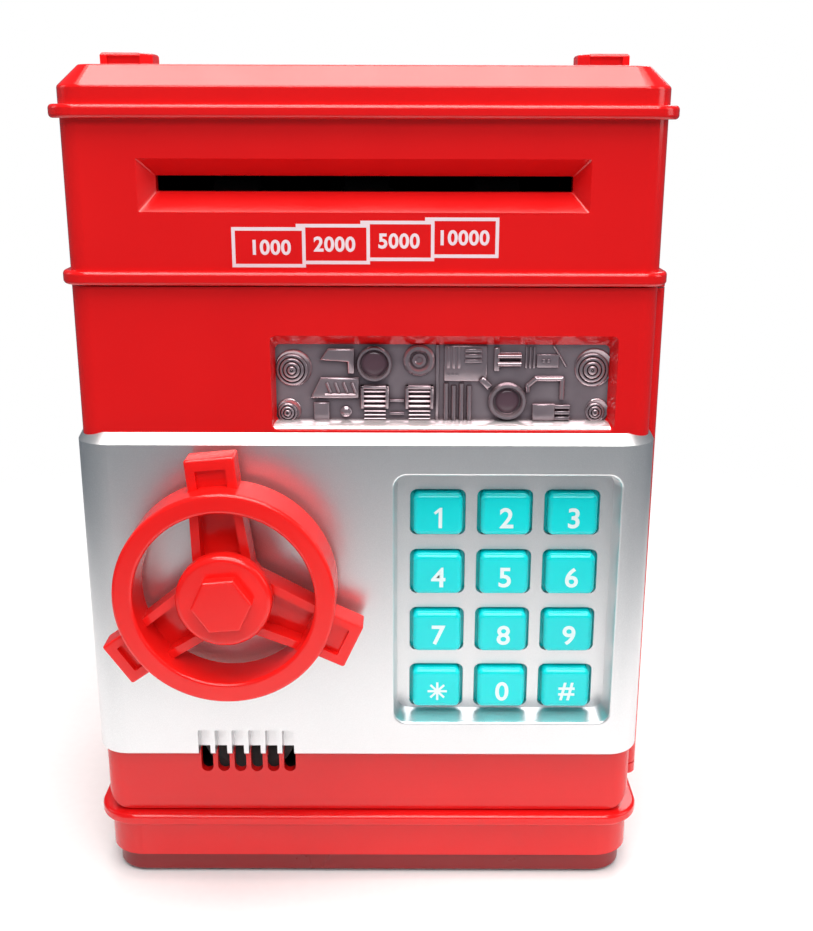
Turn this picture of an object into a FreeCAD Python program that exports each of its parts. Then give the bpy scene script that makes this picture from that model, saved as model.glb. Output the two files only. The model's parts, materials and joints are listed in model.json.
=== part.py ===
"""Toy ATM savings bank: housing, hinged door with keypad and turning wheel, powered note slot.

Millimetres.  +X is the object's right seen from the front, +Y its back, +Z up.
The origin is on the floor, at the centre of the whole object's width and depth.
"""
import FreeCAD
import Part
import math
import os

V = FreeCAD.Vector

# ---- driving dimensions: widths and depths -------------------------------------------------
body_width = 130.6          # outside of the housing's side walls
body_depth = 106.0          # front wall face to back wall face
wall = 2.2                  # moulded wall
fascia_proud = 3.0          # silver fascia ahead of the door's face
wheel_reach = 17.5          # hex nut's face ahead of the fascia
foot_flange = 2.7           # bottom flange beyond the walls
mid_flange = 1.7
lid_flange = 2.2
lid_corner = 6.5
gap = 0.35                  # moving edges to fixed edges

half_w = body_width / 2
front_y = (fascia_proud + wheel_reach - foot_flange - body_depth) / 2
back_y = front_y + body_depth
fascia_y = front_y - fascia_proud

# ---- driving dimensions: heights -----------------------------------------------------------
z_skirt = 0.5               # underside of the bottom cover, on its feet
z_base = 6.1
cover_screw_sunk = 0.7      # the battery cover's screw head lies flush in it
z_foot_flange = (15.5, 18.4)
z_mid_flange = (149.65, 152.7)
z_lid_flange = (184.8, 187.7)
z_lid_band = 191.35
z_lid_top = 195.8
z_lug_top = 198.5

# ---- door ----------------------------------------------------------------------------------
door_z = (z_foot_flange[1] + gap + 0.15, z_mid_flange[0] - gap)
door_x = (-half_w, half_w - 0.1)
door_rim = 12.0             # depth of the door's rim, from its face
door_corner = 4.5           # round of the door's upright edges
hinge_x = 64.8
hinge_y = fascia_y + 11.6
barrel_r = 2.9
pin_r = 1.25
running = 0.06              # radial play of pins and shafts in their bores
barrel_z = (28.5, 148.4)
ear_height = 2.6

# ---- fascia --------------------------------------------------------------------------------
fascia_half = 66.5
fascia_z = (35.7, 114.1)
fascia_bevel = 2.2          # height of the sloping top edge
fascia_corner = 8.0         # round of its upright edges
vent_depth = 4.2            # of the vents' grooves, with a floor moulded on the fascia's back

# ---- window --------------------------------------------------------------------------------
window_outer = (-21.2, 56.5, 116.8, 138.5)      # low x, high x, low z, high z
window_inner = (-20.5, 55.2, 118.1, 135.9)
window_deep = 4.0

# ---- keypad --------------------------------------------------------------------------------
pad = (6.4, 58.5, 44.5, 107.0)                  # rim of the keypad's recess
pad_floor_depth = 6.5
pad_draft = 0.8
pad_lip = 0.5                                   # round of the recess's rim
key_centre = (32.45, 73.85)
key_pitch = (15.75, 14.87)
key_hole = (13.1, 11.2)
key_size = (11.5, 10.1)
key_lip = 1.2                                   # retaining flange beyond the cap's sides
key_lift = 2.4                                  # key's face above the recess's floor
key_names = ["1", "2", "3", "4", "5", "6", "7", "8", "9", "star", "0", "hash"]

# ---- wheel ---------------------------------------------------------------------------------
wheel_x, wheel_z = -31.3, 82.0
wheel_turn = 5.0                                # degrees, as it stands
ring_r = (20.3, 24.9)
ring_y = (fascia_y - 14.0, fascia_y - 3.0)
tab_reach = 31.6
shaft_r = 3.0
strike_z = (74.0, 90.0)

# ---- vents ---------------------------------------------------------------------------------
vent_first = -39.75                             # centre of the first slot
vent_pitch = 4.08
vent_width = 2.9
vent_z = (29.4, 42.3)
vent_count = 6
vent_block_x = (vent_first - 2.6, vent_first + (vent_count - 1) * vent_pitch + 2.6)
vent_block_top = vent_z[1] + 1.2

# ---- note slot and drive -------------------------------------------------------------------
slot_z = (169.5, 172.9)
slot_half = 45.4
funnel_z = (165.4, 176.6)
funnel_half = 48.75
funnel_deep = 4.0
note_z = (slot_z[0] + slot_z[1]) / 2
roller_y = front_y + 22.0
drive_r = 6.0
idler_r = 4.0
coin_slot = (30.0, 4.4)                         # length and width on the lid

shapes = {}


def add(node, *solids):
    """Names one sub-part; several solids stay separate in one node."""
    shapes[node] = solids[0] if len(solids) == 1 else Part.makeCompound(list(solids))


def box(x, y, z):
    """A block from (low, high) pairs."""
    return Part.makeBox(x[1] - x[0], y[1] - y[0], z[1] - z[0], V(x[0], y[0], z[0]))


def rod(r, start, along, length):
    """A cylinder from a start point along an axis."""
    return Part.makeCylinder(r, length, V(*start), V(*along))


def tube(r_in, r_out, start, along, length):
    return rod(r_out, start, along, length).cut(rod(r_in, start, along, length))


def rounded_wire(x, y, z, r):
    """A level rectangle with round corners, as a closed wire at height z."""
    r = max(r, 0.01)
    (x0, x1), (y0, y1) = x, y
    centres = [(x1 - r, y0 + r), (x1 - r, y1 - r), (x0 + r, y1 - r), (x0 + r, y0 + r)]
    edges = []
    ends = []
    for i, (cx, cy) in enumerate(centres):
        start = math.radians(-90 + 90 * i)
        points = [V(cx + r * math.cos(start + t), cy + r * math.sin(start + t), z)
                  for t in (0, math.pi / 4, math.pi / 2)]
        edges.append(Part.Arc(*points).toShape())
        ends.append((points[0], points[2]))
    for i in range(4):
        a = ends[i][1]
        b = ends[(i + 1) % 4][0]
        if (a - b).Length > 1e-6:
            edges.append(Part.makeLine(a, b))
    return Part.Wire(Part.__sortEdges__(edges))


def slab(x, y, z, r):
    """A plate or block with round upright edges."""
    face = Part.Face(rounded_wire(x, y, z[0], r))
    return face.extrude(V(0, 0, z[1] - z[0]))


def taper(low, high):
    """A solid between two rounded rectangles, each given as (x, y, z, r)."""
    return Part.makeLoft([rounded_wire(*low), rounded_wire(*high)], True, True)


def grown(pair, by):
    return (pair[0] - by, pair[1] + by)


def panel(x, z, y, r):
    """An upright plate with round corners in its face; y is (front, back)."""
    flat = slab(x, z, (0, y[1] - y[0]), r)
    flat.rotate(V(0, 0, 0), V(1, 0, 0), 90)
    flat.translate(V(0, y[1], 0))
    return flat


def funnel(mouth, throat, y_mouth, y_throat, r):
    """An upright tapering hole between two rectangles (low x, high x, low z, high z)."""
    wires = []
    for rect, y in ((mouth, y_mouth), (throat, y_throat)):
        wire = rounded_wire(rect[0:2], rect[2:4], 0, r)
        wire.rotate(V(0, 0, 0), V(1, 0, 0), 90)
        wire.translate(V(0, y, 0))
        wires.append(wire)
    return Part.makeLoft(wires, True, True)


def screw(head, along, head_r, head_h, shank_r, shank_l):
    """A pan-head screw: head's underside point, driving direction, and sizes."""
    back = V(*along).multiply(-head_h)
    top = rod(head_r, (head[0] + back.x, head[1] + back.y, head[2] + back.z), along, head_h)
    shank = rod(shank_r, head, along, shank_l)
    cross = []
    centre = V(*head) + back
    for turn in (0, 90):
        arm = Part.makeBox(head_r * 1.2, 0.5, head_h * 0.6, V(-head_r * 0.6, -0.25, 0))
        arm.rotate(V(0, 0, 0), V(0, 0, 1), turn)
        arm.Placement = FreeCAD.Placement(centre, FreeCAD.Rotation(V(0, 0, 1), V(*along))) * arm.Placement
        cross.append(arm)
    return top.fuse(shank).cut(cross[0]).cut(cross[1])


def hull_slab(grow, z, r):
    """A block with the housing's plan outline, grown outwards."""
    return slab((-half_w - grow, half_w + grow), (front_y - grow, back_y + grow), z, r)


# ---- base: tray, bottom cover, feet, batteries ---------------------------------------------
battery_centre = (14.0, 22.0)
battery_pitch = 15.2
cell_r = 7.1
cell_length = 49.2
cell_z = 9.7
cage_x = (battery_centre[0] - 30.5, battery_centre[0] + 30.5)
cage_y = (battery_centre[1] - 24.2, battery_centre[1] + 24.2)
foot_r = 5.0
foot_sunk = 1.0
foot_places = [(sx * 52.0, y) for sx in (-1, 1) for y in (front_y + 24.0, back_y - 24.0)]
base_screws = [(sx * 52.0, y) for sx in (-1, 1) for y in (front_y + 12.0, back_y - 12.0)]


def base_tray():
    body = hull_slab(0.7, (z_base, z_foot_flange[0]), 9.0)
    flange = hull_slab(foot_flange, z_foot_flange, 10.0)
    flange = flange.makeFillet(0.9, [e for e in flange.Edges if e.BoundBox.ZLength < 0.01])
    hollow = hull_slab(0.7 - wall, (z_base - 1, 16.4), 7.0)
    tray = body.fuse(flange).removeSplitter().cut(hollow)
    pocket = box(grown(cage_x, 0.4), grown(cage_y, 0.4), (16.0, 17.2))
    lump = slab(grown(cage_x, 2.0), grown(cage_y, 2.0), (z_foot_flange[1] - 0.5, 19.0), 2.0)
    tray = tray.fuse(lump).cut(pocket)
    for x, y in base_screws:
        post = rod(3.4, (x, y, 3.6), (0, 0, 1), 13.0)
        tray = tray.fuse(post).cut(rod(1.15, (x, y, 3.0), (0, 0, 1), 10.0))
    add("base_tray", tray)


def bottom_cover():
    inset = -1.7
    skirt = hull_slab(-0.8, (z_skirt, z_base - 0.1), 7.6)
    low_edges = [e for e in skirt.Edges if e.BoundBox.ZMax < z_skirt + 0.01]
    skirt = skirt.makeFillet(0.8, low_edges)
    cover = skirt.fuse(hull_slab(inset, (z_base - 0.5, 7.6), 6.6)).removeSplitter()
    cover = cover.cut(hull_slab(inset - 1.8, (z_skirt + 2.0, 8.0), 4.8))
    cage = box(cage_x, cage_y, (z_skirt, 16.0))
    inside = box(grown(cage_x, -1.6), grown(cage_y, -1.6), (0.0, 17.0))
    cover = cover.fuse(cage).cut(inside)
    ledge = box((cage_x[0] - 6.0, cage_x[1] + 1.0), grown(cage_y, 1.0), (z_skirt, z_skirt + 2.2))
    cover = cover.fuse(ledge.cut(inside))
    tongue_pocket = box((cage_x[1] - 2.0, cage_x[1] + 3.4), grown((battery_centre[1],) * 2, 6.2),
                        (z_skirt + 1.3, z_skirt + 3.2))
    roof = box((cage_x[1] - 1.0, cage_x[1] + 4.2), grown((battery_centre[1],) * 2, 7.4),
               (z_skirt, z_skirt + 4.2))
    cover = cover.fuse(roof).cut(tongue_pocket)
    cover = cover.cut(rod(1.4, (cage_x[0] - 3.0, battery_centre[1], 0), (0, 0, 1), 9.0))
    for x, y in base_screws:
        cover = cover.fuse(rod(4.4, (x, y, z_skirt), (0, 0, 1), 2.2))
        cover = cover.cut(rod(3.0, (x, y, 0), (0, 0, 1), z_skirt + 1.2))
        cover = cover.cut(rod(1.4, (x, y, 0), (0, 0, 1), 9.0))
    for x, y in foot_places:
        cover = cover.cut(rod(foot_r + 0.05, (x, y, 0), (0, 0, 1), z_skirt + foot_sunk))
    cover = cover.cut(battery_lid_shape(0.3, z_skirt - 1.0, z_skirt + 1.2))
    add("bottom_cover", cover)


def battery_lid_shape(grow, z0, z1):
    x = (cage_x[0] - 6.4, cage_x[1] - 0.6)
    return slab(grown(x, grow), grown(cage_y, grow + 0.6), (z0, z1), 2.0 + grow)


def battery_cover():
    lid = battery_lid_shape(0.0, z_skirt, z_skirt + 1.1)
    screw_x = cage_x[0] - 3.0
    seat_z = z_skirt + cover_screw_sunk
    lid = lid.cut(rod(1.4, (screw_x, battery_centre[1], 0), (0, 0, 1), 9.0))
    lid = lid.cut(rod(2.4, (screw_x, battery_centre[1], 0), (0, 0, 1), seat_z))
    for i in range(5):
        y = battery_centre[1] - 8.0 + 4.0 * i
        lid = lid.cut(box((cage_x[1] - 14.0, cage_x[1] - 6.0), (y - 0.6, y + 0.6), (0, z_skirt + 0.4)))
    tongue = box((cage_x[1] - 4.0, cage_x[1] + 3.0), grown((battery_centre[1],) * 2, 5.8),
                 (z_skirt + 1.5, z_skirt + 2.6))
    root = box((cage_x[1] - 4.0, cage_x[1] - 2.4), grown((battery_centre[1],) * 2, 5.8),
               (z_skirt + 0.8, z_skirt + 2.6))
    add("battery_cover", lid.fuse(tongue).fuse(root))
    head = (screw_x, battery_centre[1], seat_z)
    add("battery_cover_screw", screw(head, (0, 0, 1), 2.2, cover_screw_sunk, 1.3, 4.6))


def rubber_feet():
    feet = []
    for x, y in foot_places:
        foot = rod(foot_r, (x, y, 0), (0, 0, 1), z_skirt + foot_sunk)
        low = [e for e in foot.Edges if e.BoundBox.ZMax < 0.01]
        feet.append(foot.makeFillet(0.4, low))
    add("rubber_feet", *feet)


def batteries():
    cells = []
    metal = []
    for i in (-1, 0, 1):
        y = battery_centre[1] + i * battery_pitch
        way = 1 if i != 0 else -1
        start = battery_centre[0] - way * (cell_length / 2 + 1.0)
        cell = rod(cell_r, (start, y, cell_z), (way, 0, 0), cell_length)
        cell = cell.makeFillet(0.6, [e for e in cell.Edges if e.BoundBox.XLength < 0.01])
        nub = rod(2.7, (start + way * cell_length, y, cell_z), (way, 0, 0), 1.3)
        cells.append(cell.fuse(nub))
        for side in (-1, 1):
            x = battery_centre[0] + side * 28.2
            plate = box((x - 0.25, x + 0.25), grown((y,) * 2, 5.6), (4.4, 15.0))
            if side != way:
                coil = Part.makeCone(4.4, 2.4, 2.2, V(x + way * 0.25, y, cell_z), V(way, 0, 0))
                core = Part.makeCone(3.5, 1.6, 2.2, V(x + way * 0.25, y, cell_z), V(way, 0, 0))
                plate = plate.fuse(coil.cut(core))
            metal.append(plate)
    add("battery_cells", *cells)
    add("battery_contacts", *metal)


def base_fasteners():
    add("base_screws", *[screw((x, y, z_skirt + 1.2), (0, 0, 1), 2.6, 1.1, 1.15, 9.0)
                         for x, y in base_screws])


# ---- rear housing with hinge ears, strike and hinge pin ------------------------------------
jamb_y = front_y + door_rim + gap
ear_z = [(barrel_z[0] - 0.3 - ear_height, barrel_z[0] - 0.3),
         (barrel_z[1] + 0.3, z_mid_flange[0] - 0.02)]


def rear_housing():
    z = (z_foot_flange[1], z_mid_flange[0])
    shell = hull_slab(0, z, door_corner).cut(hull_slab(-wall, (z[0] - 1, z[1] + 1), 2.4))
    shell = shell.cut(box((-80, 80), (front_y - 5, jamb_y), (0, 200)))
    for low, high in ear_z:
        ear = rod(barrel_r, (hinge_x, hinge_y, low), (0, 0, 1), high - low)
        arm = box((hinge_x - 1.6, half_w), (hinge_y, jamb_y + 4.0), (low, high))
        shell = shell.fuse(ear).fuse(arm)
    shell = shell.cut(rod(pin_r + 0.02, (hinge_x, hinge_y, ear_z[0][0] + 0.8), (0, 0, 1), 200))
    for z_rib in (60.0, 104.0):
        shell = shell.fuse(box((-half_w + 1.5, half_w - 1.5), (back_y - wall - 2.0, back_y - wall),
                               (z_rib, z_rib + 1.6)))
    holder = box((-half_w + 1.0, -half_w + wall + 2.0), (jamb_y + 6.2, jamb_y + 22.0), grown(strike_z, 4.0))
    shell = shell.fuse(holder.cut(box((-80, 80), (jamb_y + 8.0, jamb_y + 20.0), grown(strike_z, 0.2))))
    add("rear_housing", shell.removeSplitter())


def strike_plate():
    """Bent metal plate that the lock's cam turns behind."""
    x_in = -half_w + wall
    foot = box((x_in, x_in + 1.2), (jamb_y + 8.4, jamb_y + 19.6), strike_z)
    catch = box((x_in, x_in + 5.2), (jamb_y + 8.4, jamb_y + 9.8), strike_z)
    add("strike_plate", foot.fuse(catch))


def hinge_pin():
    start = ear_z[0][0] + 0.9
    add("hinge_pin", rod(pin_r, (hinge_x, hinge_y, start), (0, 0, 1), ear_z[1][1] - 0.1 - start))


# ---- upper housing, lid and the note drive -------------------------------------------------
upper_floor = 2.0
floor_top = z_mid_flange[0] + upper_floor
side_plate_x = (48.9, 50.5)
guide_y = (front_y + 8.0, front_y + 36.0)
note_drop_y = (front_y + 52.0, front_y + 66.0)
upper_screw_spots = [(sx * 58.4, y) for sx in (-1, 1) for y in (20.0, back_y - 8.5)]
coin_y = 34.0
drive_z = note_z - drive_r
idler_z = note_z + idler_r + 0.3
sleeve_xs = (-30.0, 0.0, 30.0)
sleeve_w = 10.0
gear_teeth = (24, 12)
gear_x = (51.3, 54.7)
motor_y = roller_y + 17.5
motor_z = drive_z - math.sqrt(18.3 ** 2 - 17.5 ** 2)


def upper_housing():
    z = (z_mid_flange[0], z_lid_flange[0])
    block = hull_slab(0, z, door_corner)
    flange = hull_slab(mid_flange, z_mid_flange, door_corner + 1.5)
    flange = flange.makeFillet(0.9, [e for e in flange.Edges if e.BoundBox.ZLength < 0.01])
    inside = hull_slab(-wall, (floor_top, z[1] + 1), 2.4)
    shell = block.fuse(flange).removeSplitter().cut(inside)
    surround = panel((-funnel_half - 3, funnel_half + 3), (funnel_z[0] - 3, funnel_z[1] + 3),
                     (front_y + 1.0, front_y + 6.5), 2.0)
    shell = shell.fuse(surround)
    mouth = (-funnel_half, funnel_half, funnel_z[0], funnel_z[1])
    throat = (-slot_half, slot_half, slot_z[0], slot_z[1])
    shell = shell.cut(funnel(mouth, throat, front_y, front_y + funnel_deep, 0.4))
    shell = shell.cut(panel(throat[0:2], throat[2:4], (front_y - 1, front_y + 8), 0.4))
    shell = shell.cut(box((-slot_half - 1, slot_half + 1), note_drop_y, (z[0] - 1, floor_top + 1)))
    shell = shell.cut(box((-17.5, 17.5), (coin_y - 4.5, coin_y + 4.5), (z[0] - 1, floor_top + 1)))
    for x, y in upper_screw_spots:
        shell = shell.cut(rod(1.4, (x, y, z[0] - 1), (0, 0, 1), 8))
    add("upper_housing", shell.removeSplitter())
    posts = []
    for x, y in upper_screw_spots:
        posts.append(screw((x, y, floor_top), (0, 0, -1), 2.6, 1.2, 1.15, 8.5))
    add("upper_screws", *posts)


def add_screw_posts():
    """Bosses in the rear housing that take the upper housing's screws."""
    shell = shapes["rear_housing"]
    for x, y in upper_screw_spots:
        boss = rod(3.2, (x, y, 138.0), (0, 0, 1), z_mid_flange[0] - 138.0)
        side = half_w - 1.0 if x > 0 else -half_w + 1.0
        web = box(tuple(sorted((x, side))), (y - 1.0, y + 1.0), (138.0, z_mid_flange[0]))
        shell = shell.fuse(boss).fuse(web)
        shell = shell.cut(rod(1.15, (x, y, 140.0), (0, 0, 1), 12.0))
    shapes["rear_housing"] = shell.removeSplitter()


def lug(side):
    """One raised corner lug: an outer post, a recessed face and an angled inner face."""
    y0 = front_y + 11.0
    outline = [(46.8, y0 + 4.0), (48.8, y0), (57.5, y0), (57.5, y0 + 11.0), (46.8, y0 + 11.0)]
    wire = Part.makePolygon([V(side * x, y, z_lid_top - 0.5) for x, y in outline + outline[:1]])
    body = Part.Face(wire).extrude(V(0, 0, z_lug_top - z_lid_top + 0.5))
    body = body.makeFillet(0.7, [e for e in body.Edges if e.BoundBox.ZMin > z_lug_top - 0.01])
    recess = box(tuple(sorted((side * 48.9, side * 56.0))), (y0 - 1, y0 + 0.8), (z_lid_top, z_lug_top - 0.7))
    return body.cut(recess)


def top_lid():
    flange = hull_slab(lid_flange, z_lid_flange, door_corner + 2.0)
    flange = flange.makeFillet(0.9, [e for e in flange.Edges if e.BoundBox.ZLength < 0.01])
    band = hull_slab(0.5, (z_lid_flange[1] - 0.5, z_lid_band), lid_corner)
    rise = z_lid_top - z_lid_band
    out_x, out_y = (-half_w - 0.5, half_w + 0.5), (front_y - 0.5, back_y + 0.5)
    crown = taper((out_x, out_y, z_lid_band, lid_corner),
                  (grown(out_x, -rise), grown(out_y, -rise), z_lid_top, lid_corner - 3.0))
    lid = flange.fuse(band).fuse(crown).removeSplitter()
    ridge = [e for e in lid.Edges if e.BoundBox.ZMin > z_lid_top - 0.01]
    foot = [e for e in lid.Edges if abs(e.BoundBox.ZMin - z_lid_band) < 0.01 and e.BoundBox.ZLength < 0.01]
    lid = lid.makeFillet(0.8, ridge + foot)
    lid = lid.cut(hull_slab(-wall, (z_lid_flange[0] - 1, z_lid_band - 1.0), 2.4))
    lid = lid.cut(hull_slab(-wall - 4.0, (z_lid_band - 1.5, z_lid_top - 2.2), 2.0))
    rim = hull_slab(-wall - 0.15, (z_lid_flange[0] - 3.0, z_lid_flange[0] + 0.8), 2.2)
    rim = rim.cut(hull_slab(-wall - 1.6, (z_lid_flange[0] - 4.0, z_lid_flange[0] + 2.0), 1.4))
    seat = hull_slab(-wall + 0.3, (z_lid_flange[0] + 0.3, z_lid_flange[0] + 2.0), 2.6)
    rim = rim.fuse(seat.cut(hull_slab(-wall - 1.6, (z_lid_flange[0] - 4.0, z_lid_flange[0] + 3.0), 1.4)))
    lid = lid.fuse(rim)
    for side in (-1, 1):
        lid = lid.fuse(lug(side))
    slot = slab((-coin_slot[0] / 2, coin_slot[0] / 2), grown((coin_y, coin_y), coin_slot[1] / 2),
                (z_lid_top - 4, z_lid_top + 1), 0.6)
    add("top_lid", lid.cut(slot).removeSplitter())


def coin_chute():
    outer = box((-17.2, 17.2), (coin_y - 4.2, coin_y + 4.2), (z_mid_flange[0], z_lid_top - 2.3))
    inner = box((-15.6, 15.6), (coin_y - 2.6, coin_y + 2.6), (140.0, 200.0))
    collar = box((-20.0, 20.0), (coin_y - 6.5, coin_y + 6.5), (floor_top, floor_top + 1.6))
    add("coin_chute", outer.fuse(collar).cut(inner))


def roller_windows(z0, z1, r):
    """Cutting blocks that clear each rubber sleeve."""
    y = (roller_y - r - 0.8, roller_y + r + 0.8)
    return [box((x - sleeve_w / 2 - 1, x + sleeve_w / 2 + 1), y, (z0, z1)) for x in sleeve_xs]


def note_guides():
    half = side_plate_x[0] - 0.1
    lower = box((-half, half), guide_y, (slot_z[0] - 2.2, slot_z[0] - 0.6))
    for x in (-46.0, 44.0):
        lower = lower.fuse(box((x, x + 2.0), guide_y, (floor_top, slot_z[0] - 1.0)))
    lower = lower.cut(box((-80, 80), grown((roller_y,) * 2, 2.4), (drive_z - 2.4, drive_z + 2.4)))
    lower = lower.cut(rod(8.4, (0, motor_y, motor_z), (1, 0, 0), 60))
    for window in roller_windows(drive_z - 8, drive_z + 10, drive_r):
        lower = lower.cut(window)
    add("note_guide_lower", lower)
    z0 = slot_z[1] + 0.6
    upper = box((-half, half), (guide_y[0], guide_y[1] + 8), (z0, z0 + 1.6))
    bend_y = guide_y[1] + 8
    outer = rod(15.6, (-half, bend_y, z0 - 14.0), (1, 0, 0), 2 * half)
    outer = outer.cut(rod(14.0, (-half - 1, bend_y, z0 - 14.0), (1, 0, 0), 2 * half + 2))
    quarter = outer.common(box((-80, 80), (bend_y, bend_y + 20), (z0 - 12.0, z0 + 2.0)))
    upper = upper.fuse(quarter)
    for window in roller_windows(z0 - 2, z0 + 6, idler_r):
        upper = upper.cut(window)
    upper = upper.cut(box((-80, 80), grown((roller_y,) * 2, 2.0), (z0 + 0.4, z0 + 6)))
    add("note_guide_upper", upper)


def side_plates():
    """Two plates that carry the rollers; the right one also carries the motor."""
    for name, side in (("side_plate_left", -1), ("side_plate_right", 1)):
        x = tuple(sorted((side * side_plate_x[0], side * side_plate_x[1])))
        plate = panel((guide_y[0], guide_y[1] + 18), (floor_top, 182.0), (0, x[1] - x[0]), 2.0)
        plate.rotate(V(0, 0, 0), V(0, 0, 1), 90)
        plate.translate(V(x[1], 0, 0))
        for r, y, z in ((1.5, roller_y, drive_z), (1.2, roller_y, idler_z)):
            plate = plate.cut(rod(r + running, (x[0] - 1, y, z), (1, 0, 0), 6))
        if side > 0:
            plate = plate.cut(rod(3.0, (x[0] - 1, motor_y, motor_z), (1, 0, 0), 6))
        foot = box(tuple(sorted((side * side_plate_x[1], side * (side_plate_x[1] + 7)))),
                   (guide_y[0] + 34, guide_y[0] + 44), (floor_top, floor_top + 1.6))
        add(name, plate.fuse(foot))


def gear(teeth, module, x, centre_y, centre_z, phase, bore):
    """A straight-toothed gear on an axle along X."""
    pitch_r = teeth * module / 2
    root_r = pitch_r - 1.15 * module
    tip_r = pitch_r + 0.85 * module
    blank = rod(root_r, (x[0], 0, 0), (1, 0, 0), x[1] - x[0])
    for i in range(teeth):
        half_root, half_tip = 0.78 * module, 0.32 * module
        foot = root_r - 0.3
        corners = [(foot, -half_root), (tip_r, -half_tip), (tip_r, half_tip), (foot, half_root)]
        wire = Part.makePolygon([V(x[0], a, b) for a, b in corners + corners[:1]])
        tooth = Part.Face(wire).extrude(V(x[1] - x[0], 0, 0))
        tooth.rotate(V(0, 0, 0), V(1, 0, 0), phase + 360.0 * i / teeth)
        blank = blank.fuse(tooth)
    blank = blank.removeSplitter()
    blank = blank.cut(rod(bore, (x[0] - 1, 0, 0), (1, 0, 0), 20))
    blank.translate(V(0, centre_y, centre_z))
    return blank


def rollers():
    shaft = rod(1.5, (-side_plate_x[1] - 2.0, roller_y, drive_z), (1, 0, 0), 2 * side_plate_x[1] + 6.6)
    add("drive_shaft", shaft)
    sleeves = [tube(1.5, drive_r, (x - sleeve_w / 2, roller_y, drive_z), (1, 0, 0), sleeve_w)
               for x in sleeve_xs]
    add("drive_roller_sleeves", *sleeves)
    idler = rod(1.2, (-side_plate_x[1] - 0.4, roller_y, idler_z), (1, 0, 0), 2 * side_plate_x[1] + 0.8)
    for x in sleeve_xs:
        idler = idler.fuse(rod(idler_r, (x - sleeve_w / 2, roller_y, idler_z), (1, 0, 0), sleeve_w))
    add("idler_roller", idler.removeSplitter())
    bearing = math.degrees(math.atan2(motor_z - drive_z, motor_y - roller_y))
    half_tooth = 180.0 / gear_teeth[1]
    add("drive_gear", gear(gear_teeth[0], 1.0, gear_x, roller_y, drive_z, bearing, 1.5))
    add("motor_pinion", gear(gear_teeth[1], 1.0, gear_x, motor_y, motor_z, bearing + 180 + half_tooth, 1.0))
    can_x = (side_plate_x[0] - 25.5, side_plate_x[0] - 0.1)
    can = rod(7.6, (can_x[0], motor_y, motor_z), (1, 0, 0), can_x[1] - can_x[0])
    can = can.fuse(rod(2.6, (can_x[0] - 1.6, motor_y, motor_z), (1, 0, 0), 1.7))
    can = can.fuse(rod(2.6, (can_x[1] - 0.1, motor_y, motor_z), (1, 0, 0), 1.8))
    can = can.cut(rod(1.0 + running, (can_x[1] - 6.0, motor_y, motor_z), (1, 0, 0), 20))
    add("feed_motor", can)
    shaft_start = can_x[1] - 5.8
    add("motor_shaft", rod(1.0, (shaft_start, motor_y, motor_z), (1, 0, 0), gear_x[1] + 0.6 - shaft_start))


def note_sensor():
    z0 = slot_z[1] + 2.2
    case = box((-44.0, -32.0), (guide_y[0] + 0.5, guide_y[0] + 6.5), (z0, z0 + 6.5))
    lever = box((-46.0, -33.0), (guide_y[0] + 6.7, guide_y[0] + 7.1), (z0 + 0.2, z0 + 5.0))
    add("note_sensor", case, lever)


def main_board():
    y = (back_y - wall - 7.6, back_y - wall - 6.0)
    chips = [box((-8, 8), (y[0] - 1.6, y[0]), (162, 170)),
             box((14, 26), (y[0] - 5.0, y[0]), (156, 162)),
             box((-28, -16), (y[0] - 5.0, y[0]), (156, 162))]
    for x in (-24.0, -17.0, 20.0):
        chips.append(rod(2.6, (x, y[0] - 7.0, 173.0), (0, 1, 0), 7.0))
    posts = [rod(2.2, (x, y[1], z), (0, 1, 0), back_y - wall - y[1]) for x in (-30, 36) for z in (156, 179)]
    board = panel((-34.0, 40.0), (floor_top + 1.0, 183.0), y, 1.0)
    add("main_board", board, *chips)
    shell = shapes["upper_housing"]
    for post in posts:
        shell = shell.fuse(post)
    shapes["upper_housing"] = shell.removeSplitter()


# ---- door: panel, fascia, window, keypad ---------------------------------------------------
door_plate = 2.2
door_side = 2.0
pocket_wall = 1.4
cover_y = (front_y + door_plate, fascia_y + 25.6)
cover_x = (-55.5, 60.0)
cover_z = (24.0, 145.0)
door_posts = [(-50.0, 30.0), (-50.0, 139.0), (0.0, 30.0), (0.0, 110.0), (54.0, 34.0)]


def barrel_relief():
    """Room in the door's rim for the fixed ears above and below the door's barrel."""
    reliefs = []
    for low, high in ((door_z[0] - 1, barrel_z[0]), (barrel_z[1], door_z[1] + 1)):
        reliefs.append(box((hinge_x - 4.2, hinge_x + 6), (hinge_y - 3.7, front_y + 20), (low, high)))
    return reliefs


def vent_slots(y, z, r):
    slots = []
    for i in range(vent_count):
        x = vent_first + i * vent_pitch
        slots.append(panel((x - vent_width / 2, x + vent_width / 2), z, y, r))
    return slots


def door_outline(grow, y, z, r):
    """A block with the door's plan outline: round at the front edges only."""
    x = grown(door_x, grow)
    block = slab(x, (y[0], y[1] + 2 * r), z, r)
    return block.common(box((-90, 90), y, (0, 250)))


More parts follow.
